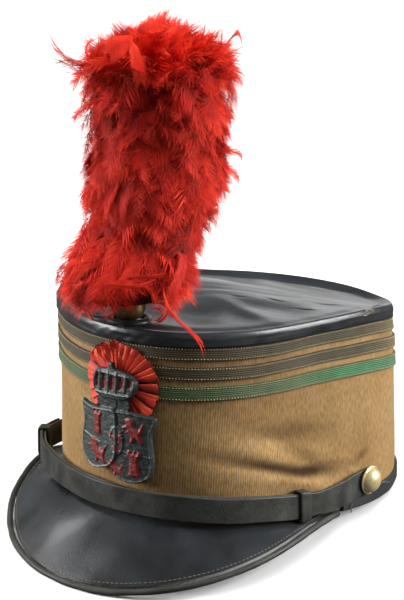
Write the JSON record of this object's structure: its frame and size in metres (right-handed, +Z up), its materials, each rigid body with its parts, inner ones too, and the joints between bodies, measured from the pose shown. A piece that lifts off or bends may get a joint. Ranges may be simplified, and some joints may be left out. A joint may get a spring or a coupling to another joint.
{
  "type": "shako",
  "caption": "Military dress shako with twill body, patent leather crown and visor, braided tapes, leather chin strap, feather plume, ribbon cockade and cast badge.",
  "frame": {"origin": "on the table under the head opening, where the hat's middle line meets it", "axes": "+Z up, the front of the hat faces -Y, the wearer's left is +X"},
  "size_m": [0.1915, 0.2423, 0.2699],
  "materials": {
    "twill": "tan wool twill, matt",
    "patent_leather": "black patent, glossy",
    "dark_braid": "brown-black braid with gold stitching",
    "green_braid": "green braid with gold stitching",
    "black_leather": "worn black leather, satin",
    "polished_brass": "polished",
    "aged_brass": "dulled",
    "scarlet_feather": "soft feathers",
    "red_ribbon": "ribbed ribbon",
    "dark_pewter": "dark cast metal with red enamel"
  },
  "bodies": {
    "root": {"body": "twill", "crown_top": "patent_leather", "tape_upper": "dark_braid", "tape_middle": "dark_braid", "tape_green": "green_braid", "back_band": "black_leather", "visor": "patent_leather", "visor_binding": "black_leather", "chin_strap": "black_leather", "strap_overlap": "black_leather", "strap_keeper_left": "black_leather", "strap_keeper_right": "black_leather", "button_left": "polished_brass", "button_right": "polished_brass", "plume_socket": "aged_brass", "socket_collar": "black_leather", "plume": "scarlet_feather", "cockade": "red_ribbon", "badge": "dark_pewter"}
  },
  "joints": []
}
